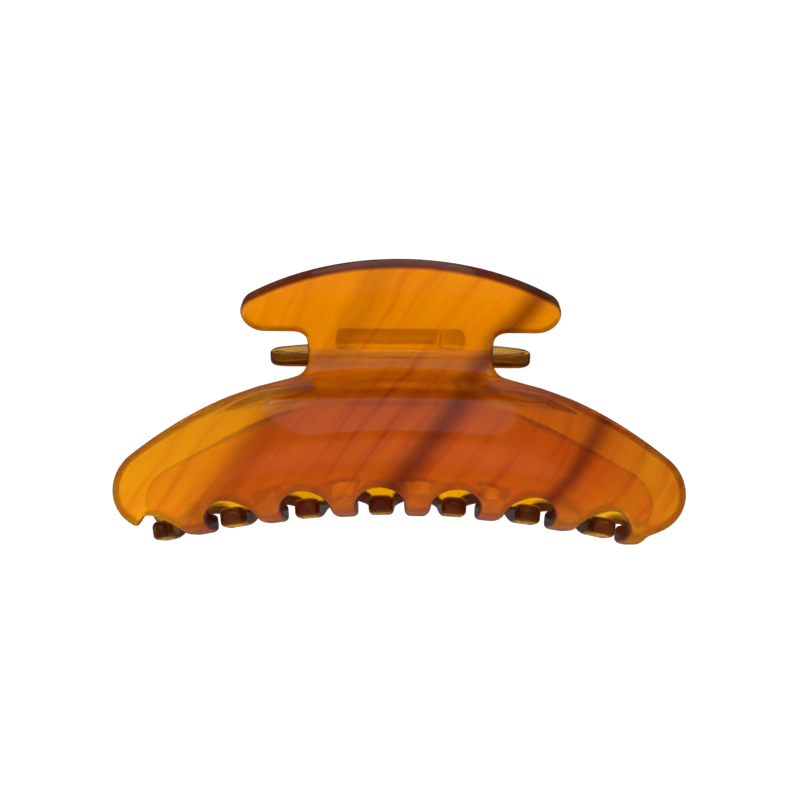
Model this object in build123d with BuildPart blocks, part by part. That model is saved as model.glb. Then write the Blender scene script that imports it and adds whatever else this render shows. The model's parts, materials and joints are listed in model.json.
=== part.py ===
"""Large cellulose-acetate claw clip, closed, lying on its back half.

Each half is one sheet of acetate: a flat thumb wing, a narrow neck and a curved jaw with seven
teeth.  The back half is the front half turned 180 degrees about the clip's centre line, so the
teeth of one pass between the teeth of the other.  A hinge block is glued inside each neck, and a
steel pin and a torsion spring join the two.

Frame: X along the clip, +Y towards the thumb wings, +Z up, origin on the floor under the middle
of the clip's box.
In a half's own frame x runs along the clip, u from the teeth to the wings and w outwards from the
plane between the halves, all from the hinge axis.
"""
import os
from math import acos, atan2, cos, degrees, hypot, radians, sin, tan

from build123d import *

HINGE_Y = 11.3              # hinge axis from the middle of the clip's box

# Sheet and folds, measured to the middle of the sheet
SHEET = 3.5
NECK_W = 5.5                # neck from the plane between the halves
FOLD_R = 5.0
WING_FOOT_W = 6.15          # where the wing's line would cross the hinge axis's height
WING_LEAN = 59.0            # wing from the plane between the halves
JAW_RISE = 60.0             # angle at which the jaw leaves the neck
JAW_FLAT = 0.8
JAW_STRAIGHT = 3.35
BULGE_R = 10.0
TOOTH_R = 21.8
TOOTH_TURN = 30.0
TOOTH_PAST = 4.9            # how far the teeth pass the middle plane
ARCH_R = 190.0              # arch of the tooth line, seen from outside
END_DEPTH = 0.4             # depth of the bulge at the ends against the middle
END_DROP = 2.2              # how far the ends lean in
SIDE_STATIONS = 3           # sections each side of the middle

# Outline of the wing, along its plate from the foot
WING_HALF = 29.6
WING_LOW = 4.3
WING_TOP = 18.9
WING_END_R = 3.9
WING_NOTCH_R = 2.1

# Outline of the neck and jaw, seen from outside
NECK_HALF = 17.9
NECK_CORNER_U = -5.9
NOTCH_R = 4.0
JAW_TOP = (24.5, -8.3)
JAW_TOP_R = 130.0
END_HALF = 51.5
END_R = 7.3
END_U = -28.1
END_TURN = 50.0             # where the end's round meets the upper edge
END_LOW_TURN = -78.0        # where it meets the outer side of the last tooth

# Teeth
TEETH = 7
PITCH = 13.75
GAP_ROOT = 11.4             # gap roots from the middle plane, at mid-length
GAP_R = 4.3                 # round of a gap's root
GAP_TIP_HALF = 4.6
CORNER_LOW = 5.0            # lower edge of the toothless end, from the middle plane

# Reach of the cutting prisms, clear of the sheet
PAST_TEETH_U = -48.0
INSIDE_BULGE_U = -13.0
ABOVE_SHEET = 40.0

# Hinge
BLOCK_HALF = 12.5
BLOCK_LOW = -7.5
BLOCK_HIGH = 3.6
BLOCK_CORNER = 1.5
BLOCK_CLEAR = 0.3           # block from the middle plane
SWING_SLOPE = 0.6           # block face where the wings swing together
KNUCKLE_R = 2.9
KNUCKLE_W = 1.8
SIDE_CLEAR = 0.1
ROUND_CLEAR = 0.3
PIN_R = 1.0
PIN_BORE_R = 1.04
BAY_R = 2.7
COIL_R = 1.65
WIRE_R = 0.4
COIL_HALF = 8.3
COIL_OVER = 0.06            # the coil's solid stands this much proud of its turns
LEG_ANGLE = 50.0            # leg from the plane between the halves
LEG_LENGTH = 8.4
LEG_SLOT = 1.4
LEG_X = COIL_HALF - WIRE_R - COIL_OVER

os.makedirs("parts", exist_ok=True)

# The fold is tangent to the wing's line and to the neck's line.
FOLD_RUN = FOLD_R * tan(radians(WING_LEAN / 2))
CORNER_S = (NECK_W - WING_FOOT_W) / sin(radians(WING_LEAN))
FOLD_TOP_S = CORNER_S + FOLD_RUN
FOLD_END_U = CORNER_S * cos(radians(WING_LEAN)) - FOLD_RUN

# Section steps (length, turn in degrees) from the wing's fold to where the teeth hang straight.
WING_STEPS = [(FOLD_R * radians(WING_LEAN), -WING_LEAN)]
JAW_STEPS = [
    (JAW_FLAT, 0),
    (FOLD_R * radians(JAW_RISE), -JAW_RISE),
    (JAW_STRAIGHT, 0),
    (BULGE_R * radians(JAW_RISE + 60), JAW_RISE + 60),
    (TOOTH_R * radians(TOOTH_TURN), TOOTH_TURN),
]


def walk(start, heading, steps):
    """Points along tangent lines and arcs, with a point at least every 12 degrees or 2.5 mm."""
    u, w = start
    points = [start]
    for length, turn in steps:
        parts = max(2, round(abs(turn) / 12), round(length / 2.5))
        for _ in range(parts):
            heading += turn / parts / 2
            u += length / parts * cos(radians(heading))
            w += length / parts * sin(radians(heading))
            heading += turn / parts / 2
            points.append((u, w))
    return points


def wing_point(s, out=0.0):
    """(u, w) of a point on the wing's plate, s from its foot and out from its middle."""
    lean = radians(WING_LEAN)
    return (s * cos(lean) - out * sin(lean), WING_FOOT_W + s * sin(lean) + out * cos(lean))


def jaw_w(w, x, share=1.0):
    """Distance w from the middle plane, carried to a station nearer the ends of the jaw."""
    toward_end = (x / END_HALF) ** 2
    depth = 1 - (1 - END_DEPTH) * toward_end
    return NECK_W + depth * (w - NECK_W) - share * END_DROP * toward_end


def sheet_section(x):
    """Middle of the sheet at a station: arched, and shallower towards the ends of the jaw."""
    section = walk(wing_point(FOLD_TOP_S), 180 + WING_LEAN, WING_STEPS)
    jaw = walk(section[-1], 180, JAW_STEPS)[1:]
    for step, (u, w) in enumerate(jaw, start=1):
        arch = min(1, step / 2) * x ** 2 / (2 * ARCH_R)
        section.append((u - arch, jaw_w(w, x, min(1, step / 9))))
    tooth_u, tooth_w = section[-1]
    section.append((tooth_u, (tooth_w - TOOTH_PAST) / 2))
    section.append((tooth_u, -TOOTH_PAST))
    return section


def resting_pose():
    """Tilt and hinge height at which a half rests on its wing tip and on its bulge."""
    tip_u, tip_w = wing_point(WING_TOP, SHEET / 2)
    bulge = walk((FOLD_END_U, NECK_W), 180, JAW_STEPS[:3])[-1]
    centre_u = bulge[0] - BULGE_R * sin(radians(JAW_RISE))
    centre_w = bulge[1] - BULGE_R * cos(radians(JAW_RISE))
    across = tip_w - centre_w
    along = tip_u - centre_u
    tilt = acos((BULGE_R + SHEET / 2) / hypot(across, along)) - atan2(along, across)
    return tilt, tip_w * cos(tilt) - tip_u * sin(tilt)


TILT, HINGE_HEIGHT = resting_pose()
print(f"tilt {degrees(TILT):.3f} deg, hinge axis {HINGE_HEIGHT:.3f} mm above the floor")


def half_plane(side):
    """Frame of the front half (side 1) or the back half (side -1): x, u and outward w."""
    outward = (0, -side * sin(TILT), side * cos(TILT))
    return Plane(origin=(0, HINGE_Y, HINGE_HEIGHT), x_dir=(side, 0, 0), z_dir=outward)


def section_plane(half, x):
    """Plane across the clip at a station: local axes u and w, normal along the clip."""
    return Plane(origin=half.from_local_coords((x, 0, 0)), x_dir=half.y_dir, z_dir=half.x_dir)


def wing_plane(half):
    """Plane of the wing's plate: local axes along the clip and up the wing, normal outwards."""
    lean = radians(WING_LEAN)
    foot = half.from_local_coords((0, 0, WING_FOOT_W))
    normal = half.z_dir * cos(lean) - half.y_dir * sin(lean)
    return Plane(origin=foot, x_dir=half.x_dir, z_dir=normal)


def offset_side(section, out):
    """A section's points moved off the middle of the sheet, outwards or (negative) inwards."""
    side = []
    last = len(section) - 1
    for i, (u, w) in enumerate(section):
        before, after = section[max(0, i - 1)], section[min(last, i + 1)]
        du, dw = after[0] - before[0], after[1] - before[1]
        side.append((u + out * dw / hypot(du, dw), w - out * du / hypot(du, dw)))
    return side


def claw_half(half):
    """One acetate half."""
    with BuildPart() as claw:
        # curved sheet: fold, neck, jaw and tooth wall
        for i in range(-SIDE_STATIONS, SIDE_STATIONS + 1):
            x = (END_HALF + 2.5) * i / SIDE_STATIONS
            section = sheet_section(x)
            with BuildSketch(section_plane(half, x)):
                with BuildLine():
                    outer = Spline(*offset_side(section, SHEET / 2))
                    inner = Spline(*offset_side(section, -SHEET / 2))
                    Line(outer @ 0, inner @ 0)
                    Line(outer @ 1, inner @ 1)
                make_face()
        loft()

        # outline of the neck and jaw
        below = -TOOTH_PAST - 5
        with BuildSketch(half.offset(below)):
            with BuildLine():
                end_u = END_U
                end_x = END_HALF - END_R
                meet_x = end_x + END_R * cos(radians(END_TURN))
                meet_u = end_u + END_R * sin(radians(END_TURN))
                low_x = end_x + END_R * cos(radians(END_LOW_TURN))
                low_u = end_u + END_R * sin(radians(END_LOW_TURN))
                Polyline(JAW_TOP, (NECK_HALF, NECK_CORNER_U), (NECK_HALF, 4),
                         (-NECK_HALF, 4), (-NECK_HALF, NECK_CORNER_U), (-JAW_TOP[0], JAW_TOP[1]))
                RadiusArc(JAW_TOP, (meet_x, meet_u), JAW_TOP_R)
                ThreePointArc((meet_x, meet_u), (END_HALF, end_u), (low_x, low_u))
                Polyline((low_x, low_u), (low_x, PAST_TEETH_U), (-end_x, PAST_TEETH_U),
                         (-end_x, end_u - END_R))
                ThreePointArc((-end_x, end_u - END_R), (-END_HALF, end_u), (-meet_x, meet_u))
                RadiusArc((-meet_x, meet_u), (-JAW_TOP[0], JAW_TOP[1]), JAW_TOP_R)
            outline = make_face()
            notch_corners = outline.vertices().filter_by_position(
                Axis.Y, NECK_CORNER_U - 0.1, NECK_CORNER_U + 0.1)
            fillet(notch_corners, NOTCH_R)
        extrude(amount=ABOVE_SHEET, mode=Mode.INTERSECT)

        # gaps between the teeth, and the low edge of the toothless end
        tooth_plane = Plane(origin=half.from_local_coords((0, INSIDE_BULGE_U, 0)),
                            x_dir=half.x_dir, z_dir=-half.y_dir)
        with BuildSketch(tooth_plane):
            for i in range(TEETH):
                middle_x = -PITCH / 4 - PITCH * (i - TEETH // 2)
                root = jaw_w(GAP_ROOT, middle_x)
                left = [(middle_x - GAP_TIP_HALF, -TOOTH_PAST), (middle_x - GAP_TIP_HALF, below)]
                if i == TEETH - 1:
                    left = [(middle_x - GAP_TIP_HALF, CORNER_LOW),
                            (middle_x - PITCH, CORNER_LOW), (middle_x - PITCH, below)]
                with BuildLine():
                    Polyline((middle_x + GAP_TIP_HALF, below),
                             (middle_x + GAP_TIP_HALF, -TOOTH_PAST),
                             (middle_x + GAP_R, root - GAP_R),
                             (middle_x - GAP_R, root - GAP_R), *left, close=True)
                make_face()
                with Locations((middle_x, root - GAP_R)):
                    Circle(GAP_R)
        extrude(amount=INSIDE_BULGE_U - PAST_TEETH_U, mode=Mode.SUBTRACT)

        # thumb wing
        with BuildSketch(wing_plane(half)):
            end_x = WING_HALF - WING_END_R
            end_s = WING_LOW + WING_END_R
            drop = WING_TOP - end_s
            top_r = (end_x ** 2 + drop ** 2 - WING_END_R ** 2) / (2 * (drop - WING_END_R))
            turn = atan2(end_x, top_r - drop)
            meet = (end_x + WING_END_R * sin(turn), end_s + WING_END_R * cos(turn))
            with BuildLine():
                ThreePointArc((-meet[0], meet[1]), (0, WING_TOP), meet)
                ThreePointArc(meet, (WING_HALF, end_s), (end_x, WING_LOW))
                Polyline((end_x, WING_LOW), (NECK_HALF, WING_LOW), (NECK_HALF, FOLD_TOP_S),
                         (-NECK_HALF, FOLD_TOP_S), (-NECK_HALF, WING_LOW), (-end_x, WING_LOW))
                ThreePointArc((-end_x, WING_LOW), (-WING_HALF, end_s), (-meet[0], meet[1]))
            make_face()
            fillet(vertices().filter_by_position(Axis.X, -NECK_HALF - 0.1, NECK_HALF + 0.1)
                   .filter_by_position(Axis.Y, WING_LOW - 0.1, WING_LOW + 0.1), WING_NOTCH_R)
        extrude(amount=SHEET / 2, both=True)
    return claw


def knuckle_spans(own):
    """Places along the clip of a block's own knuckles, or of the other block's."""
    outer = (-BLOCK_HALF, -BLOCK_HALF + KNUCKLE_W)
    inner = (BLOCK_HALF - 2 * KNUCKLE_W - SIDE_CLEAR, BLOCK_HALF - KNUCKLE_W - SIDE_CLEAR)
    spans = [outer, inner]
    return spans if own else [(-b, -a) for a, b in spans]


def hinge_block(half, claw):
    """Acetate block glued inside the neck, with two knuckles on the pin and a bay for the coil."""
    with BuildPart() as block:
        with BuildSketch(section_plane(half, 0)):
            with BuildLine():
                face_u = BLOCK_CLEAR / SWING_SLOPE
                Polyline((BLOCK_LOW, BLOCK_CLEAR), (face_u, BLOCK_CLEAR),
                         (BLOCK_HIGH, BLOCK_HIGH * SWING_SLOPE), (BLOCK_HIGH, 13),
                         (BLOCK_LOW, 13), close=True)
            make_face()
        extrude(amount=BLOCK_HALF, both=True)
        for start, stop in knuckle_spans(own=False):
            with BuildSketch(section_plane(half, start - SIDE_CLEAR)):
                Circle(KNUCKLE_R + ROUND_CLEAR)
            extrude(amount=stop - start + 2 * SIDE_CLEAR, mode=Mode.SUBTRACT)
        bay_half = BLOCK_HALF - 2 * KNUCKLE_W - 2 * SIDE_CLEAR
        with BuildSketch(section_plane(half, 0)):
            Circle(BAY_R)
        extrude(amount=bay_half, both=True, mode=Mode.SUBTRACT)
        for start, stop in knuckle_spans(own=True):
            with BuildSketch(section_plane(half, start)):
                Circle(KNUCKLE_R)
            extrude(amount=stop - start)
        with BuildSketch(section_plane(half, 0)):
            Circle(PIN_BORE_R)
        extrude(amount=BLOCK_HALF + 1, both=True, mode=Mode.SUBTRACT)
        with BuildSketch(section_plane(half, LEG_X)):
            with Locations((BLOCK_HIGH - 1, BLOCK_HIGH)):
                Rectangle(2 * BLOCK_HIGH, 4 * BLOCK_HIGH)
        extrude(amount=LEG_SLOT / 2, both=True, mode=Mode.SUBTRACT)
        add(claw.part, mode=Mode.SUBTRACT)
        # keep only what lies inside the sheet
        with BuildSketch(section_plane(half, -BLOCK_HALF)):
            with BuildLine():
                Polyline((BLOCK_LOW, -KNUCKLE_R - 1), (BLOCK_HIGH, -KNUCKLE_R - 1),
                         (BLOCK_HIGH, 11), (1.0, NECK_W), (-5.0, NECK_W), (BLOCK_LOW, 7.5),
                         close=True)
            make_face()
        extrude(amount=2 * BLOCK_HALF, mode=Mode.INTERSECT)
        # rounded corners, seen from outside
        with BuildSketch(half.offset(-KNUCKLE_R - 1)):
            with Locations((0, (BLOCK_LOW + BLOCK_HIGH) / 2)):
                RectangleRounded(2 * BLOCK_HALF, BLOCK_HIGH - BLOCK_LOW, BLOCK_CORNER)
        extrude(amount=ABOVE_SHEET, mode=Mode.INTERSECT)
    return block


def leg(half, x):
    """Ends of a spring leg, which leaves the coil's turns on a tangent and runs up to the wing."""
    along = radians(LEG_ANGLE)
    u0, w0 = -COIL_R * sin(along), COIL_R * cos(along)
    u1, w1 = u0 + LEG_LENGTH * cos(along), w0 + LEG_LENGTH * sin(along)
    return [half.from_local_coords((x, u, w)) for u, w in ((u0, w0), (u1, w1))]


front = half_plane(1)
back = half_plane(-1)

front_claw = claw_half(front)
front_claw.part.label = "front_claw"
export_step(front_claw.part, "parts/front_claw.step")

back_claw = claw_half(back)
back_claw.part.label = "back_claw"
export_step(back_claw.part, "parts/back_claw.step")

front_hinge_block = hinge_block(front, front_claw)
front_hinge_block.part.label = "front_hinge_block"
export_step(front_hinge_block.part, "parts/front_hinge_block.step")

back_hinge_block = hinge_block(back, back_claw)
back_hinge_block.part.label = "back_hinge_block"
export_step(back_hinge_block.part, "parts/back_hinge_block.step")

with BuildPart() as hinge_pin:
    with BuildSketch(section_plane(front, 0)):
        Circle(PIN_R)
    extrude(amount=BLOCK_HALF, both=True)
    chamfer(hinge_pin.edges().filter_by(GeomType.CIRCLE), 0.25)
hinge_pin.part.label = "hinge_pin"
export_step(hinge_pin.part, "parts/hinge_pin.step")

with BuildPart() as torsion_spring:
    with BuildSketch(section_plane(front, 0)):
        Circle(COIL_R + WIRE_R + COIL_OVER)
        Circle(COIL_R - WIRE_R - COIL_OVER, mode=Mode.SUBTRACT)
    extrude(amount=COIL_HALF, both=True)
    for half in (front, back):
        with BuildLine():
            spring_leg = Line(*leg(half, LEG_X))
        with BuildSketch(Plane(origin=spring_leg @ 0, z_dir=spring_leg % 0)):
            Circle(WIRE_R)
        sweep()
torsion_spring.part.label = "torsion_spring"
export_step(torsion_spring.part, "parts/torsion_spring.step")
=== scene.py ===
"""Looks of the acetate claw clip: two formed sheets of amber acetate, their hinge blocks, pin and
torsion spring, on a pale floor under soft studio light.

Lengths in the geometry section are millimetres in a half's own frame: x along the clip, u from the
teeth to the wings and w outwards, all from the hinge axis.  d runs down the sheet's section from the
top of the wing's fold to the tooth tips.  to_row() turns them into metres in the row frame.
"""

import json
from math import atan2, cos, hypot, pi, radians, sin, sqrt, tan

import bmesh
import bpy
import numpy as np
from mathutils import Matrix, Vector, geometry

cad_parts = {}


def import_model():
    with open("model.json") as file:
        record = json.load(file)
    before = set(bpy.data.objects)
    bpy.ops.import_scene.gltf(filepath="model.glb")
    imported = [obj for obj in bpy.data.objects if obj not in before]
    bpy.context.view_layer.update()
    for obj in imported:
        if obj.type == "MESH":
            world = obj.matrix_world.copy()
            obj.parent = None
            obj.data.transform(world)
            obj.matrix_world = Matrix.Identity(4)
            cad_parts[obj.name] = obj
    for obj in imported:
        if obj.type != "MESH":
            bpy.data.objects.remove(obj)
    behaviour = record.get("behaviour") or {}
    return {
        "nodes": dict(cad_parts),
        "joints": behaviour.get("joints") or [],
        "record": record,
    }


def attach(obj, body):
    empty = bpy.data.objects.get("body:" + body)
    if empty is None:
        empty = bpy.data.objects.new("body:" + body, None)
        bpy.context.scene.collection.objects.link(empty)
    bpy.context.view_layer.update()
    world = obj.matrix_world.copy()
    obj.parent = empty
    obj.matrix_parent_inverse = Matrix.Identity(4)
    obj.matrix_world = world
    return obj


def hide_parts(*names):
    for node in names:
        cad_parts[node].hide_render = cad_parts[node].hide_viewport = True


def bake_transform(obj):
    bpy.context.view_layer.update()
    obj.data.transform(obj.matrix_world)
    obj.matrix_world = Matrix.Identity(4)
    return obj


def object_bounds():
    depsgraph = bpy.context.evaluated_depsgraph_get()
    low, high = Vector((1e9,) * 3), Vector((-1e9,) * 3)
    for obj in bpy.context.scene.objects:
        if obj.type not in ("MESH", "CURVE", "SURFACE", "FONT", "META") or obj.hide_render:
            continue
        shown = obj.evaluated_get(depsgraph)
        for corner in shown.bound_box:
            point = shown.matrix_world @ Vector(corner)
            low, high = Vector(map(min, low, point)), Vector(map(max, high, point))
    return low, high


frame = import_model()
CAD_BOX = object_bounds()
RECORD = frame["record"]
MM = 0.001

# ---------------------------------------------------------------- driving sizes, in millimetres
SHEET = 3.5
BLOCK_GAP = 0.06            # sheet's inner face to the hinge blocks
EDGE_R = 1.0                # rounding of the tumbled edges
NECK_W = 5.5
FOLD_R = 5.0
WING_FOOT_W = 6.15
WING_LEAN = 59.0
JAW_RISE = 60.0
JAW_FLAT = 0.8
JAW_STRAIGHT = 3.35
BULGE_R = 10.0
TOOTH_R = 21.8
TOOTH_TURN = 30.0
TOOTH_PAST = 4.9
ARCH_R = 190.0
END_DEPTH = 0.4
END_DROP = 2.2

WING_HALF = 29.6
WING_LOW = 4.3
WING_TOP = 18.9
WING_END_R = 3.9
WING_NOTCH_R = 2.1

NECK_HALF = 17.9
NECK_CORNER_U = -5.9
NOTCH_R = 4.0
JAW_TOP = (24.5, -8.3)
JAW_TOP_R = 130.0
END_HALF = 51.5
END_R = 7.3
END_U = -28.1
END_TURN = 50.0
END_LOW_TURN = -78.0        # where the round of the toothed end turns into its last tooth

TEETH = 7
PITCH = 13.75
GAP_ROOT = 11.4
GAP_R = 4.3
GAP_TIP_HALF = 4.6
TIP_R = 1.5                 # round of a tooth's corners
PLAIN_LOW_TURN = -66.0      # where the round of the other end meets the first gap
END_TOOTH_CUT = 1.5         # the last tooth's outer corner is cut back by this

FINE_STEP = 0.15            # between points while the outline is drawn
POINT_GAP = 0.45            # between points of the outline
GRID_CLEAR = 0.3            # from the outline to the points inside it
GRID_X = 0.8                # between points inside the outline
GRID_D = 0.5
ROUND_STEPS = 6

COIL_R = 1.65
WIRE_R = 0.4
COIL_HALF = 7.84
COIL_TURNS = 15
LEG_ANGLE = 50.0
LEG_LENGTH = 8.0
LEG_LEAD = 1.0              # where a leg runs straight after it leaves the coil
STEPS_PER_TURN = 24

# ---------------------------------------------------------------- the section of the sheet
FOLD_RUN = FOLD_R * tan(radians(WING_LEAN / 2))
CORNER_S = (NECK_W - WING_FOOT_W) / sin(radians(WING_LEAN))
FOLD_TOP_S = CORNER_S + FOLD_RUN
FOLD_LENGTH = FOLD_R * radians(WING_LEAN)
BULGE_TURN = JAW_RISE + 60
RISE_LENGTH = JAW_FLAT + FOLD_R * radians(JAW_RISE) + JAW_STRAIGHT
STEPS = [
    (FOLD_LENGTH, -WING_LEAN),
    (JAW_FLAT, 0),
    (FOLD_R * radians(JAW_RISE), -JAW_RISE),
    (JAW_STRAIGHT, 0),
    (BULGE_R * radians(BULGE_TURN), BULGE_TURN),
    (TOOTH_R * radians(TOOTH_TURN), TOOTH_TURN),
    (TOOTH_PAST, 0),
]
TOOTH_START = sum(length for length, _ in STEPS[:-1])


def section(d):
    """Middle of the sheet (u, w) at mid-length of the clip, before arch and end depth."""
    heading = radians(180 + WING_LEAN)
    u = FOLD_TOP_S * cos(radians(WING_LEAN))
    w = WING_FOOT_W + FOLD_TOP_S * sin(radians(WING_LEAN))
    us, ws = u + d * cos(heading), w + d * sin(heading)
    start = 0.0
    for length, turn in STEPS:
        along = d - start
        here = along >= 0
        if turn:
            r = length / radians(turn)
            end = heading + length / r
            us = np.where(here, u + r * (np.sin(heading + along / r) - sin(heading)), us)
            ws = np.where(here, w - r * (np.cos(heading + along / r) - cos(heading)), ws)
            u, w = u + r * (sin(end) - sin(heading)), w - r * (cos(end) - cos(heading))
            heading = end
        else:
            us = np.where(here, u + along * cos(heading), us)
            ws = np.where(here, w + along * sin(heading), ws)
            u, w = u + length * cos(heading), w + length * sin(heading)
        start += length
    return us, ws


def ramp(value, low, high):
    """0 below low, 1 above high, smooth between."""
    t = np.clip((value - low) / (high - low), 0, 1)
    return t * t * (3 - 2 * t)


def middle(x, d):
    """Middle of the sheet as an array of points (x, u, w)."""
    u, w = section(np.minimum(d, TOOTH_START))
    toward_end = (x / END_HALF) ** 2
    depth = 1 - (1 - END_DEPTH) * toward_end
    share = np.clip((d - FOLD_LENGTH) / RISE_LENGTH, 0, 1)
    jaw_w = NECK_W + depth * (w - NECK_W) - share * END_DROP * toward_end
    w = np.where(d > FOLD_LENGTH, jaw_w, w)
    tip = np.clip((d - TOOTH_START) / TOOTH_PAST, 0, None)
    w = w + tip * (-TOOTH_PAST - w)
    u = u - ramp(d, FOLD_LENGTH - 1, FOLD_LENGTH + 3) * x ** 2 / (2 * ARCH_R)
    return np.stack([x, u, w], -1)


def surface(x, d, out):
    """Points at a distance out from the middle of the sheet, along its normal."""
    x, d = np.broadcast_arrays(np.asarray(x, float), np.asarray(d, float))
    step = 0.02
    across = middle(x + step, d) - middle(x - step, d)
    down = middle(x, d + step) - middle(x, d - step)
    normal = np.cross(down, across)
    normal /= np.linalg.norm(normal, axis=-1, keepdims=True)
    return middle(x, d) + normal * np.asarray(out)[..., None]


def on_sheet(xs, values, axis, low, high, out):
    """(x, d) of the points that show at x and at this u (axis 1) or w (axis 2)."""
    at = np.array(xs, float)
    for _ in range(3):
        lo, hi = np.full(len(at), low), np.full(len(at), high)
        for _ in range(34):
            half = (lo + hi) / 2
            above = surface(at, half, out)[:, axis] > values
            lo, hi = np.where(above, half, lo), np.where(above, hi, half)
        at = at - (surface(at, lo, out)[:, 0] - xs)
    return np.stack([at, lo], -1)


# ---------------------------------------------------------------- the outline of the sheet
def arc(centre, r, start, stop):
    """Points on an arc, angles in degrees, close together."""
    count = max(4, int(abs(radians(stop - start)) * r / FINE_STEP))
    turns = np.radians(np.linspace(start, stop, count))
    return np.stack([centre[0] + r * np.cos(turns), centre[1] + r * np.sin(turns)], -1)


def line(a, b):
    """Points on a straight line, close together."""
    count = max(2, int(hypot(b[0] - a[0], b[1] - a[1]) / FINE_STEP))
    return np.linspace(a, b, count)


def rounded(a, corner, b, r):
    """Arc of radius r that rounds the corner between two lines."""
    a, corner, b = (np.array(p, float) for p in (a, corner, b))
    to_a, to_b = (p / np.linalg.norm(p) for p in (a - corner, b - corner))
    middle_way = to_a + to_b
    middle_way /= np.linalg.norm(middle_way)
    half = np.arccos(np.clip(to_a @ middle_way, -1, 1))
    centre = corner + middle_way * r / sin(half)
    start = corner + to_a * r / tan(half) - centre
    stop = corner + to_b * r / tan(half) - centre
    first = np.degrees(atan2(start[1], start[0]))
    turn = np.degrees(atan2(stop[1], stop[0])) - first
    turn = (turn + 180) % 360 - 180
    return arc(centre, r, first, first + turn)


def wing_outline():
    """Right side of the wing, top centre to the neck, as (x, d)."""
    end_x, end_s = WING_HALF - WING_END_R, WING_LOW + WING_END_R
    drop = WING_TOP - end_s
    top_r = (end_x ** 2 + drop ** 2 - WING_END_R ** 2) / (2 * (drop - WING_END_R))
    turn = np.degrees(atan2(end_x, top_r - drop))
    points = np.concatenate([
        arc((0, WING_TOP - top_r), top_r, 90, 90 - turn),
        arc((end_x, end_s), WING_END_R, 90 - turn, -90),
        line((end_x, WING_LOW), (NECK_HALF + WING_NOTCH_R, WING_LOW)),
        arc((NECK_HALF + WING_NOTCH_R, WING_LOW - WING_NOTCH_R), WING_NOTCH_R, 90, 180),
    ])
    points[:, 1] = FOLD_TOP_S - points[:, 1]
    return points


EDGE_OUT = SHEET / 2 - EDGE_R
BULGE_LENGTH = BULGE_R * radians(BULGE_TURN)
TOOTH_WALL = TOOTH_R * radians(TOOTH_TURN)
LOWEST_JAW = FOLD_LENGTH + RISE_LENGTH + BULGE_LENGTH + TOOTH_WALL * 0.9


def from_plan(points):
    """Outline points given as (x, u) seen from outside, as (x, d)."""
    return on_sheet(points[:, 0], points[:, 1], 1, FOLD_LENGTH - 1, LOWEST_JAW, EDGE_OUT)


def from_front(points):
    """Outline points of the teeth given as (x, w) seen from the front, as (x, d)."""
    bulge_top = FOLD_LENGTH + RISE_LENGTH + BULGE_R * radians(JAW_RISE + 10)
    return on_sheet(points[:, 0], points[:, 1], 2, bulge_top, TOOTH_START + TOOTH_PAST + 0.5, 0.0)


def jaw_side():
    """Right side of the neck and jaw down to the end's round, as (x, u)."""
    corner = (NECK_HALF, NECK_CORNER_U)
    end = (END_HALF - END_R, END_U)
    meet = (end[0] + END_R * cos(radians(END_TURN)), end[1] + END_R * sin(radians(END_TURN)))
    chord = np.array(meet) - JAW_TOP
    length = hypot(*chord)
    inward = np.array([chord[1], -chord[0]]) / length
    centre = (np.array(JAW_TOP) + meet) / 2 + inward * sqrt(JAW_TOP_R ** 2 - length ** 2 / 4)
    first = np.degrees(atan2(JAW_TOP[1] - centre[1], JAW_TOP[0] - centre[0]))
    last = np.degrees(atan2(meet[1] - centre[1], meet[0] - centre[0]))
    notch = rounded((NECK_HALF, 0), corner, JAW_TOP, NOTCH_R)
    return np.concatenate([notch, line(notch[-1], JAW_TOP), arc(centre, JAW_TOP_R, first, last)])


def gap_root(middle_x):
    """Distance w of a gap's root at a place along the clip."""
    toward_end = (middle_x / END_HALF) ** 2
    depth = 1 - (1 - END_DEPTH) * toward_end
    return NECK_W + depth * (GAP_ROOT - NECK_W) - END_DROP * toward_end


def tooth_tip(right_top, tooth_x, left_top, cut):
    """A tooth from its right side round its two rounded corners to its left side, as (x, w)."""
    half = PITCH / 2 - GAP_TIP_HALF
    right, left = (tooth_x + half - cut, -TOOTH_PAST), (tooth_x - half, -TOOTH_PAST)
    first = rounded(right_top, right, left, TIP_R)
    second = rounded(right, left, left_top, TIP_R)
    return np.concatenate([line(right_top, first[0]), first, second, line(second[-1], left_top)])


def teeth_outline(right_top):
    """Lower edge from the toothed end to the root beside the toothless end, as (x, d)."""
    pieces = []
    for i in range(TEETH):
        tooth_x = PITCH / 4 + PITCH * (TEETH // 2 - i)
        gap_x = tooth_x - PITCH / 2
        root_w = gap_root(gap_x) - GAP_R
        cut = 0 if i else END_TOOTH_CUT
        pieces.append(tooth_tip(right_top, tooth_x, (gap_x + GAP_R, root_w), cut))
        stop = 180 if i < TEETH - 1 else 100
        pieces.append(arc((gap_x, root_w), GAP_R, 0, stop))
        right_top = (gap_x - GAP_R, root_w)
    return from_front(np.concatenate(pieces))


def outline():
    """The whole outline as a closed loop of (x, d), clockwise from the top of the wing."""
    wing = wing_outline()
    jaw = jaw_side()
    side = from_plan(jaw)
    neck = line(wing[-1], side[0])
    end = (END_HALF - END_R, END_U)
    toothed_end = from_plan(arc(end, END_R, END_TURN, END_LOW_TURN))
    plain_end = from_plan(arc((-end[0], END_U), END_R, -180 - PLAIN_LOW_TURN, -180 - END_TURN))
    last = surface(toothed_end[-1, 0], toothed_end[-1, 1], 0.0)
    teeth = teeth_outline((last[0] - 0.2, last[2] - 0.4))
    flip = np.array([-1, 1])
    loop = np.concatenate([
        wing, neck, side, toothed_end, teeth,
        plain_end, (side * flip)[::-1], (neck * flip)[::-1], (wing * flip)[::-1]])
    return even(loop)


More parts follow.
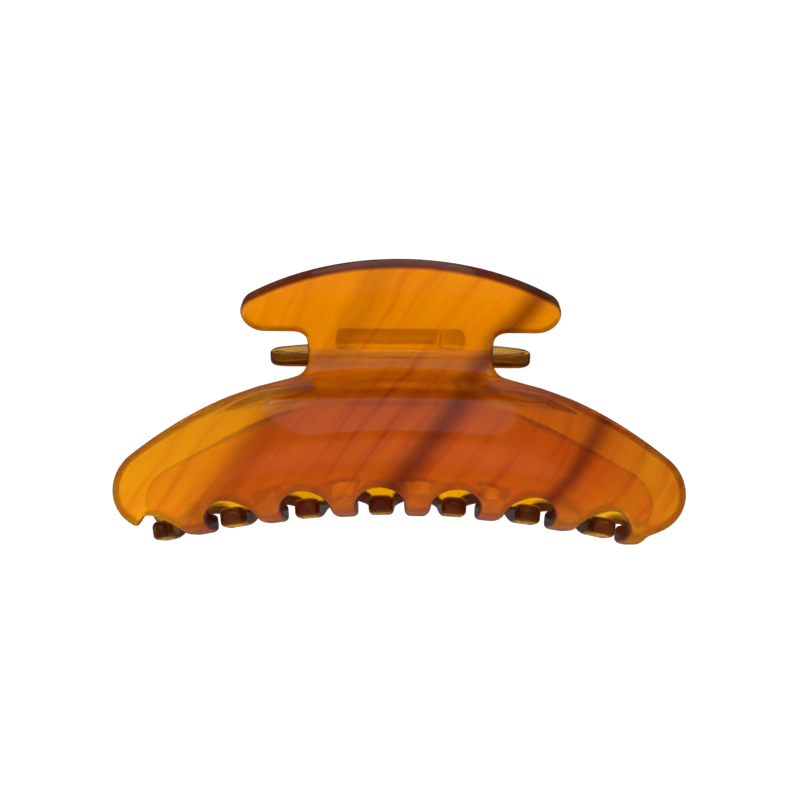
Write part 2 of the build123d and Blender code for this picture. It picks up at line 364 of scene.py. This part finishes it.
def even(loop):
    """The loop with its points evenly spaced on the sheet, lightly smoothed."""
    for _ in range(2):
        closed = np.concatenate([loop, loop[:1]])
        real = middle(closed[:, 0], closed[:, 1])
        run = np.concatenate([[0], np.cumsum(np.linalg.norm(np.diff(real, axis=0), axis=1))])
        keep = np.concatenate([[True], np.diff(run) > 1e-6])
        count = int(run[-1] / POINT_GAP)
        at = np.linspace(0, run[-1], count, endpoint=False)
        loop = np.stack([np.interp(at, run[keep], closed[keep, k]) for k in (0, 1)], -1)
        loop = (np.roll(loop, 1, 0) + 2 * loop + np.roll(loop, -1, 0)) / 4
    return loop


def moved_in(loop, distance):
    """The loop moved inwards on the sheet by a true distance."""
    step = 0.02
    x, d = loop[:, 0], loop[:, 1]
    by_x = (middle(x + step, d) - middle(x - step, d)) / (2 * step)
    by_d = (middle(x, d + step) - middle(x, d - step)) / (2 * step)
    real = middle(x, d)
    along = np.roll(real, -1, 0) - np.roll(real, 1, 0)
    normal = np.cross(by_d, by_x)
    inward = np.cross(along, normal)
    inward /= np.linalg.norm(inward, axis=1, keepdims=True)
    # least-squares step in (x, d) that moves by that distance inwards
    xx, xd, dd = (np.sum(a * b, 1) for a, b in ((by_x, by_x), (by_x, by_d), (by_d, by_d)))
    px, pd = np.sum(inward * by_x, 1) * distance, np.sum(inward * by_d, 1) * distance
    det = xx * dd - xd ** 2
    return loop + np.stack([(px * dd - pd * xd) / det, (pd * xx - px * xd) / det], -1)


# ---------------------------------------------------------------- the sheet's mesh
HINGE = frame["joints"][0]["pos_m"]
PAD = next(m for m in RECORD["mounts"] if m["name"] == "front_thumb_pad")
TILT = atan2(-PAD["axis"][1], PAD["axis"][2]) - radians(WING_LEAN)


def to_row(points, side):
    """Points of a half's own frame (side 1 front, -1 back), in metres in the row frame."""
    x, u, w = np.asarray(points, float).T
    y = u * cos(TILT) - side * w * sin(TILT)
    z = u * sin(TILT) + side * w * cos(TILT)
    return np.stack([side * x, y, z], -1) * MM + np.array(HINGE)


def inside_grid(loop):
    """Grid points inside the loop and clear of it."""
    xs = np.arange(loop[:, 0].min(), loop[:, 0].max(), GRID_X)
    ds = np.arange(loop[:, 1].min(), loop[:, 1].max(), GRID_D)
    grid = np.stack(np.meshgrid(xs, ds, indexing="ij"), -1).reshape(-1, 2)
    inside = np.zeros(len(grid), bool)
    after = np.roll(loop, -1, 0)
    for (ax, ad), (bx, bd) in zip(loop, after):
        crosses = (ad > grid[:, 1]) != (bd > grid[:, 1])
        if ad != bd:
            cut = ax + (grid[:, 1] - ad) / (bd - ad) * (bx - ax)
            inside ^= crosses & (grid[:, 0] < cut)
    grid = grid[inside]
    clear = np.ones(len(grid), bool)
    for ax, ad in loop:
        clear &= (grid[:, 0] - ax) ** 2 + (grid[:, 1] - ad) ** 2 > GRID_CLEAR ** 2
    return grid[clear]


def sheet_mesh(name, side):
    """One formed sheet, closed, with rounded edges.  Its rim attribute is 1 on the cut edge, where the
    acetate's base colour gets painted shade.
    """
    loop = outline()
    count = len(loop)
    angles = np.linspace(0, pi / 2, ROUND_STEPS)
    rings = []
    for angle in angles:
        ring = moved_in(loop, EDGE_R * (1 - cos(angle)))
        rings.append((ring, SHEET / 2 - EDGE_R + EDGE_R * sin(angle)))
    inner_most = rings[-1][0]
    fill = inside_grid(inner_most)
    points = np.concatenate([inner_most, fill])
    edges = [(i, (i + 1) % count) for i in range(count)]
    found = geometry.delaunay_2d_cdt([Vector(p) for p in points], edges, [], 1, 1e-6)
    flat = np.array([tuple(v) for v in found[0]])
    triangles = [tuple(t) for t in found[2]]

    parts, faces = [], []
    # rings from the outer face's last ring round the edge to the inner face's last ring
    levels = [(ring, out) for ring, out in reversed(rings)]
    levels += [(ring, -out + BLOCK_GAP * out / (SHEET / 2)) for ring, out in rings]
    for ring, out in levels:
        parts.append(surface(ring[:, 0], ring[:, 1], np.full(count, out)))
    rim = np.concatenate([np.repeat(np.cos(angles[::-1]), count), np.repeat(np.cos(angles), count)])
    for level in range(len(levels) - 1):
        for i in range(count):
            j = (i + 1) % count
            a, b = level * count, (level + 1) * count
            faces.append((a + i, a + j, b + j, b + i))
    base = len(levels) * count
    for out, first in ((SHEET / 2, 0), (-SHEET / 2 + BLOCK_GAP, (len(levels) - 1) * count)):
        index = {}
        extra = []
        for k, point in enumerate(flat):
            if k < count and np.allclose(point, inner_most[k]):
                index[k] = first + k
            else:
                index[k] = base + len(extra)
                extra.append(point)
        extra = np.array(extra)
        parts.append(surface(extra[:, 0], extra[:, 1], np.full(len(extra), out)))
        base += len(extra)
        for a, b, c in triangles:
            triangle = (index[a], index[b], index[c])
            faces.append(triangle if out > 0 else triangle[::-1])
    mesh = bpy.data.meshes.new(name)
    mesh.from_pydata(to_row(np.concatenate(parts), side).tolist(), [], faces)
    values = np.zeros(len(mesh.vertices))
    values[:len(rim)] = rim
    mesh.attributes.new("rim", "FLOAT", "POINT").data.foreach_set("value", values)
    mesh.validate()
    mesh.update()
    return mesh


def solid_object(name, mesh):
    """A smooth-shaded object with its faces turned outwards."""
    work = bmesh.new()
    work.from_mesh(mesh)
    bmesh.ops.recalc_face_normals(work, faces=work.faces)
    work.to_mesh(mesh)
    work.free()
    mesh.polygons.foreach_set("use_smooth", [True] * len(mesh.polygons))
    made = bpy.data.objects.new(name, mesh)
    bpy.context.scene.collection.objects.link(made)
    return made


# ---------------------------------------------------------------- the torsion spring
def spring_object():
    """Coil round the pin with a straight leg behind each wing."""
    angle = radians(LEG_ANGLE)
    first = radians(270 - LEG_ANGLE)
    whole_turn = 2 * pi * COIL_TURNS + 2 * angle
    steps = COIL_TURNS * STEPS_PER_TURN
    start = Vector((-COIL_HALF, -COIL_R * sin(angle), -COIL_R * cos(angle)))
    leg = Vector((0, cos(angle), -sin(angle)))
    points = [start + leg * LEG_LENGTH, start + leg * LEG_LEAD]
    for i in range(steps + 1):
        a = first - whole_turn * i / steps
        points.append(Vector((-COIL_HALF + 2 * COIL_HALF * i / steps, COIL_R * cos(a), COIL_R * sin(a))))
    start = Vector((COIL_HALF, -COIL_R * sin(angle), COIL_R * cos(angle)))
    leg = Vector((0, cos(angle), sin(angle)))
    points += [start + leg * LEG_LEAD, start + leg * LEG_LENGTH]
    curve = bpy.data.curves.new("spring_wire", "CURVE")
    curve.dimensions = "3D"
    curve.bevel_depth = WIRE_R * MM
    curve.bevel_resolution = 3
    curve.use_fill_caps = True
    spline = curve.splines.new("POLY")
    spline.points.add(len(points) - 1)
    for spot, place in zip(spline.points, to_row([tuple(p) for p in points], 1)):
        spot.co = (*place, 1)
    holder = bpy.data.objects.new("spring_wire", curve)
    bpy.context.scene.collection.objects.link(holder)
    mesh = bpy.data.meshes.new_from_object(holder)
    bpy.data.objects.remove(holder)
    mesh.name = "torsion_spring_wire"
    return solid_object("torsion_spring_wire", mesh)


# ---------------------------------------------------------------- materials
def new_material(name):
    """A material with an empty node tree, its Principled node and its output."""
    material = bpy.data.materials.new(name)
    material.use_nodes = True
    tree = material.node_tree
    tree.nodes.clear()
    output = tree.nodes.new("ShaderNodeOutputMaterial")
    shader = tree.nodes.new("ShaderNodeBsdfPrincipled")
    tree.links.new(shader.outputs["BSDF"], output.inputs["Surface"])
    return material, tree, shader, output


def streaks(tree, scale, detail, offset):
    """Noise drawn out along the diagonal that the sheet's colours run in, 0 to 1."""
    place = tree.nodes.new("ShaderNodeTexCoord")
    turn = tree.nodes.new("ShaderNodeMapping")
    turn.inputs["Rotation"].default_value = (0, 0, radians(-52))
    turn.inputs["Location"].default_value = offset
    stretch = tree.nodes.new("ShaderNodeMapping")
    stretch.inputs["Scale"].default_value = scale
    noise = tree.nodes.new("ShaderNodeTexNoise")
    noise.inputs["Scale"].default_value = 1.0
    noise.inputs["Detail"].default_value = detail
    noise.inputs["Roughness"].default_value = 0.55
    noise.inputs["Distortion"].default_value = 0.25
    tree.links.new(place.outputs["Object"], turn.inputs["Vector"])
    tree.links.new(turn.outputs["Vector"], stretch.inputs["Vector"])
    tree.links.new(stretch.outputs["Vector"], noise.inputs["Vector"])
    return noise.outputs["Fac"]


def colour_ramp(tree, source, stops):
    """A colour ramp fed by source."""
    ramp_node = tree.nodes.new("ShaderNodeValToRGB")
    elements = ramp_node.color_ramp.elements
    while len(elements) > 1:
        elements.remove(elements[-1])
    elements[0].position, elements[0].color = stops[0][0], (*stops[0][1], 1)
    for position, colour in stops[1:]:
        elements.new(position).color = (*colour, 1)
    tree.links.new(source, ramp_node.inputs["Fac"])
    return ramp_node.outputs["Color"]


def multiplied(tree, a, b):
    """Product of two colours."""
    mix = tree.nodes.new("ShaderNodeMix")
    mix.data_type = "RGBA"
    mix.blend_type = "MULTIPLY"
    mix.inputs["Factor"].default_value = 1.0
    tree.links.new(a, mix.inputs["A"])
    tree.links.new(b, mix.inputs["B"])
    return mix.outputs["Result"]


def math_node(tree, operation, a, b=None):
    """A maths node on two values, each a socket or a number."""
    made = tree.nodes.new("ShaderNodeMath")
    made.operation = operation
    for place, value in enumerate((a, b)):
        if isinstance(value, (int, float)):
            made.inputs[place].default_value = value
        elif value is not None:
            tree.links.new(value, made.inputs[place])
    return made.outputs[0]


def smooth_range(tree, source, low, high):
    """0 below low, 1 above high, smooth between."""
    made = tree.nodes.new("ShaderNodeMapRange")
    made.interpolation_type = "SMOOTHSTEP"
    made.inputs["From Min"].default_value = low
    made.inputs["From Max"].default_value = high
    tree.links.new(source, made.inputs["Value"])
    return made.outputs["Result"]


def mixed(tree, factor, a, b):
    """Mix of two colours by a factor."""
    mix = tree.nodes.new("ShaderNodeMix")
    mix.data_type = "RGBA"
    tree.links.new(factor, mix.inputs["Factor"])
    tree.links.new(a, mix.inputs["A"])
    tree.links.new(b, mix.inputs["B"])
    return mix.outputs["Result"]


def from_hinge(tree, direction):
    """Distance in millimetres from the hinge axis's middle along a direction of the row frame."""
    place = tree.nodes.new("ShaderNodeTexCoord")
    dot = tree.nodes.new("ShaderNodeVectorMath")
    dot.operation = "DOT_PRODUCT"
    dot.inputs[1].default_value = direction
    tree.links.new(place.outputs["Object"], dot.inputs[0])
    start = Vector(HINGE).dot(Vector(direction))
    shifted = math_node(tree, "SUBTRACT", dot.outputs["Value"], start)
    return math_node(tree, "DIVIDE", shifted, MM)


def tone(tree, colour):
    """A plain colour as a socket."""
    made = tree.nodes.new("ShaderNodeRGB")
    made.outputs[0].default_value = (*colour, 1)
    return made.outputs[0]


def with_streak(tree, ground, across, place, half_width, depth):
    """The ground colour with one broad darker streak, place and half width in millimetres."""
    distance = math_node(tree, "ABSOLUTE", math_node(tree, "SUBTRACT", across, place))
    share = math_node(tree, "MULTIPLY", smooth_range(tree, distance, half_width, 0.0), depth)
    return mixed(tree, share, ground, multiplied(tree, ground, tone(tree, STREAK_TONE)))


def fine_streaks(tree, across, up, seed):
    """Thin streaks that run with the broad ones, 0 to 1."""
    spot = tree.nodes.new("ShaderNodeCombineXYZ")
    tree.links.new(math_node(tree, "MULTIPLY", across, 0.4), spot.inputs["X"])
    tree.links.new(math_node(tree, "MULTIPLY", up, 0.03), spot.inputs["Y"])
    spot.inputs["Z"].default_value = seed
    noise = tree.nodes.new("ShaderNodeTexNoise")
    noise.inputs["Scale"].default_value = 1.0
    noise.inputs["Detail"].default_value = 3.0
    noise.inputs["Roughness"].default_value = 0.6
    tree.links.new(spot.outputs["Vector"], noise.inputs["Vector"])
    return noise.outputs["Fac"]


STREAK_TONE = (0.38, 0.24, 1.0)
# painted shade: the cut edges and tooth ends darkened to grey-brown in the base colour
EDGE_PAINTED_SHADE = (0.18, 0.11, 0.30)
STREAK_WAY = Vector((0.8, -0.532, -0.251))
UP_WAY = Vector((0.0, 0.98, 0.19))


def acetate(name, offset, tones, marks, clear, ior, radius, absorb, density):
    """Polished cloudy acetate: a light wing, a deeper jaw, and diagonal streaks across both; the cut
    edge is darkened with painted shade.
    """
    material, tree, shader, output = new_material(name)
    wing_tone, near_tone, deep_tone, far_tone = [tone(tree, colour) for colour in tones]
    sway = math_node(tree, "MULTIPLY", streaks(tree, (55, 90, 70), 2.0, offset), 3.0)
    across = math_node(tree, "ADD", from_hinge(tree, STREAK_WAY), math_node(tree, "SUBTRACT", sway, 1.2))
    up = from_hinge(tree, UP_WAY)
    jaw = mixed(tree, smooth_range(tree, across, -16.0, -8.0), near_tone, deep_tone)
    jaw = mixed(tree, smooth_range(tree, across, 38.0, 48.0), jaw, far_tone)
    broad = mixed(tree, smooth_range(tree, up, -5.0, -12.0), wing_tone, jaw)
    for place, half_width, depth in marks:
        broad = with_streak(tree, broad, across, place, half_width, depth)
    fine = colour_ramp(tree, fine_streaks(tree, across, up, offset[0]),
                       [(0.38, (1, 1, 1)), (0.55, (0.96, 0.88, 0.8)), (0.72, (0.78, 0.52, 0.4))])
    rim = tree.nodes.new("ShaderNodeAttribute")
    rim.attribute_name = "rim"
    # painted shade on the cut edge, strongest where the rim attribute is high
    edge = colour_ramp(tree, rim.outputs["Fac"], [(0.4, (1, 1, 1)), (0.85, EDGE_PAINTED_SHADE)])
    tree.links.new(multiplied(tree, multiplied(tree, broad, fine), edge), shader.inputs["Base Color"])
    shader.inputs["Roughness"].default_value = 0.07
    shader.inputs["IOR"].default_value = ior
    shader.inputs["Transmission Weight"].default_value = clear
    shader.inputs["Subsurface Weight"].default_value = 1.0
    shader.inputs["Subsurface Radius"].default_value = radius
    shader.inputs["Subsurface Scale"].default_value = MM
    body = tree.nodes.new("ShaderNodeVolumeAbsorption")
    body.inputs["Color"].default_value = (*absorb, 1)
    body.inputs["Density"].default_value = density
    tree.links.new(body.outputs["Volume"], output.inputs["Volume"])
    return material


def steel(name, colour, roughness):
    """Bright drawn steel with faint draw lines along its length."""
    material, tree, shader, _ = new_material(name)
    lines = colour_ramp(tree, streaks(tree, (40, 2500, 2500), 3.0, (0, 0, 0)),
                        [(0.3, colour), (0.7, tuple(c * 0.82 for c in colour))])
    tree.links.new(lines, shader.inputs["Base Color"])
    shader.inputs["Metallic"].default_value = 1.0
    shader.inputs["Roughness"].default_value = roughness
    return material


# ---------------------------------------------------------------- build
front = solid_object("front_claw_sheet", sheet_mesh("front_claw_sheet", 1))
back = solid_object("back_claw_sheet", sheet_mesh("back_claw_sheet", -1))
spring = spring_object()

# tones of the wing, of the jaw's light end, of its middle and of its far end
FRONT_TONES = [(0.95, 0.37, 0.0), (0.95, 0.42, 0.0), (0.70, 0.17, 0.0), (0.76, 0.27, 0.0)]
BACK_TONES = [(0.97, 0.58, 0.0), (1.0, 0.68, 0.0), (0.96, 0.55, 0.0), (0.98, 0.60, 0.0)]
# broad darker streaks: place along STREAK_WAY, half width, depth
FRONT_MARKS = [(-10, 4, 0.3), (14, 4, 0.9), (37, 3, 0.9)]
BACK_MARKS = [(14, 6, 0.1)]
SCATTER = (4.0, 1.5, 0.4)
SHEET_ABSORB, SHEET_DENSITY = (0.99, 0.86, 0.0), 150
front.data.materials.append(acetate("front_acetate", (0.0, 0.0, 0.0), FRONT_TONES, FRONT_MARKS,
                                    0.62, 1.48, SCATTER, SHEET_ABSORB, SHEET_DENSITY))
back.data.materials.append(acetate("back_acetate", (0.3, 0.1, 0.2), BACK_TONES, BACK_MARKS,
                                   0.84, 1.48, SCATTER, SHEET_ABSORB, SHEET_DENSITY))
BLOCK_TONE = (1.0, 0.97, 0.80)
block_material = acetate("block_acetate", (0.7, 0.4, 0.1), [BLOCK_TONE] * 4, [],
                         0.97, 1.33, (8.0, 5.0, 2.0), (0.98, 0.9, 0.4), 20)
for node in ("front_hinge_block", "back_hinge_block"):
    block = frame["nodes"][node]
    block.data.materials.clear()
    block.data.materials.append(block_material)
pin = frame["nodes"]["hinge_pin"]
pin.data.materials.clear()
pin.data.materials.append(steel("pin_steel", (0.82, 0.80, 0.76), 0.3))
spring.data.materials.append(steel("spring_steel", (0.80, 0.77, 0.72), 0.35))

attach(front, "front")
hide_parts("front_claw")
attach(back, "back")
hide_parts("back_claw")
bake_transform(spring)
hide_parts("torsion_spring")

# ---------------------------------------------------------------- stage, light and camera
FLOOR_HALF = 1.5


def floor():
    """Plain pale floor, slightly luminous so that the clip throws almost no shadow."""
    mesh = bpy.data.meshes.new("floor")
    z = CAD_BOX[0].z
    mesh.from_pydata([(-FLOOR_HALF, -FLOOR_HALF, z), (FLOOR_HALF, -FLOOR_HALF, z),
                      (FLOOR_HALF, FLOOR_HALF, z), (-FLOOR_HALF, FLOOR_HALF, z)], [], [(0, 1, 2, 3)])
    made = bpy.data.objects.new("floor", mesh)
    bpy.context.scene.collection.objects.link(made)
    material, tree, shader, _ = new_material("floor_white")
    shader.inputs["Base Color"].default_value = (0.3, 0.3, 0.3, 1)
    shader.inputs["Roughness"].default_value = 0.9
    shader.inputs["Emission Color"].default_value = (1, 1, 1, 1)
    shader.inputs["Emission Strength"].default_value = 0.9
    mesh.materials.append(material)
    made.visible_glossy = False


def area_light(name, place, aim, size, power, shiny=True):
    """A soft box that faces aim; without shiny it lights the clip but shows in no reflection."""
    lamp = bpy.data.lights.new(name, "AREA")
    lamp.shape = "RECTANGLE"
    lamp.size, lamp.size_y = size
    lamp.energy = power
    made = bpy.data.objects.new(name, lamp)
    made.location = place
    made.rotation_euler = (Vector(aim) - Vector(place)).to_track_quat("-Z", "Y").to_euler()
    made.visible_glossy = shiny
    bpy.context.scene.collection.objects.link(made)
    return made


def world(colour, strength):
    """Even dim surroundings."""
    made = bpy.data.worlds.new("surroundings")
    made.use_nodes = True
    made.node_tree.nodes["Background"].inputs["Color"].default_value = (*colour, 1)
    made.node_tree.nodes["Background"].inputs["Strength"].default_value = strength
    bpy.context.scene.world = made


CAMERA_U, CAMERA_W = -38.71, 116.59
CAMERA_LOOK = 75.83         # degrees down from the plane between the halves
CAMERA_LENS = 26.87
CAMERA_ROLL = 0.5


def camera():
    """The camera, placed from the hinge axis."""
    data = bpy.data.cameras.new("camera")
    data.lens = CAMERA_LENS
    data.sensor_width = 36
    data.clip_start = 0.01
    made = bpy.data.objects.new("camera", data)
    made.location = to_row([(0, CAMERA_U, CAMERA_W)], 1)[0]
    tip = radians(CAMERA_LOOK) - TILT
    made.rotation_euler = (pi / 2 - tip, 0, 0)
    made.rotation_euler.rotate_axis("Z", radians(CAMERA_ROLL))
    bpy.context.scene.collection.objects.link(made)
    bpy.context.scene.camera = made


floor()
world((1, 1, 1), 0.12)
area_light("overhead_softbox", (-0.02, 0.40, 0.47), (0, 0.02, 0.02), (0.65, 1.2), 1.2)
area_light("front_fill", (0.0, -0.5, 0.6), (0, 0, 0.02), (0.8, 0.6), 6, shiny=False)
camera()
bpy.context.scene.view_settings.view_transform = "Standard"
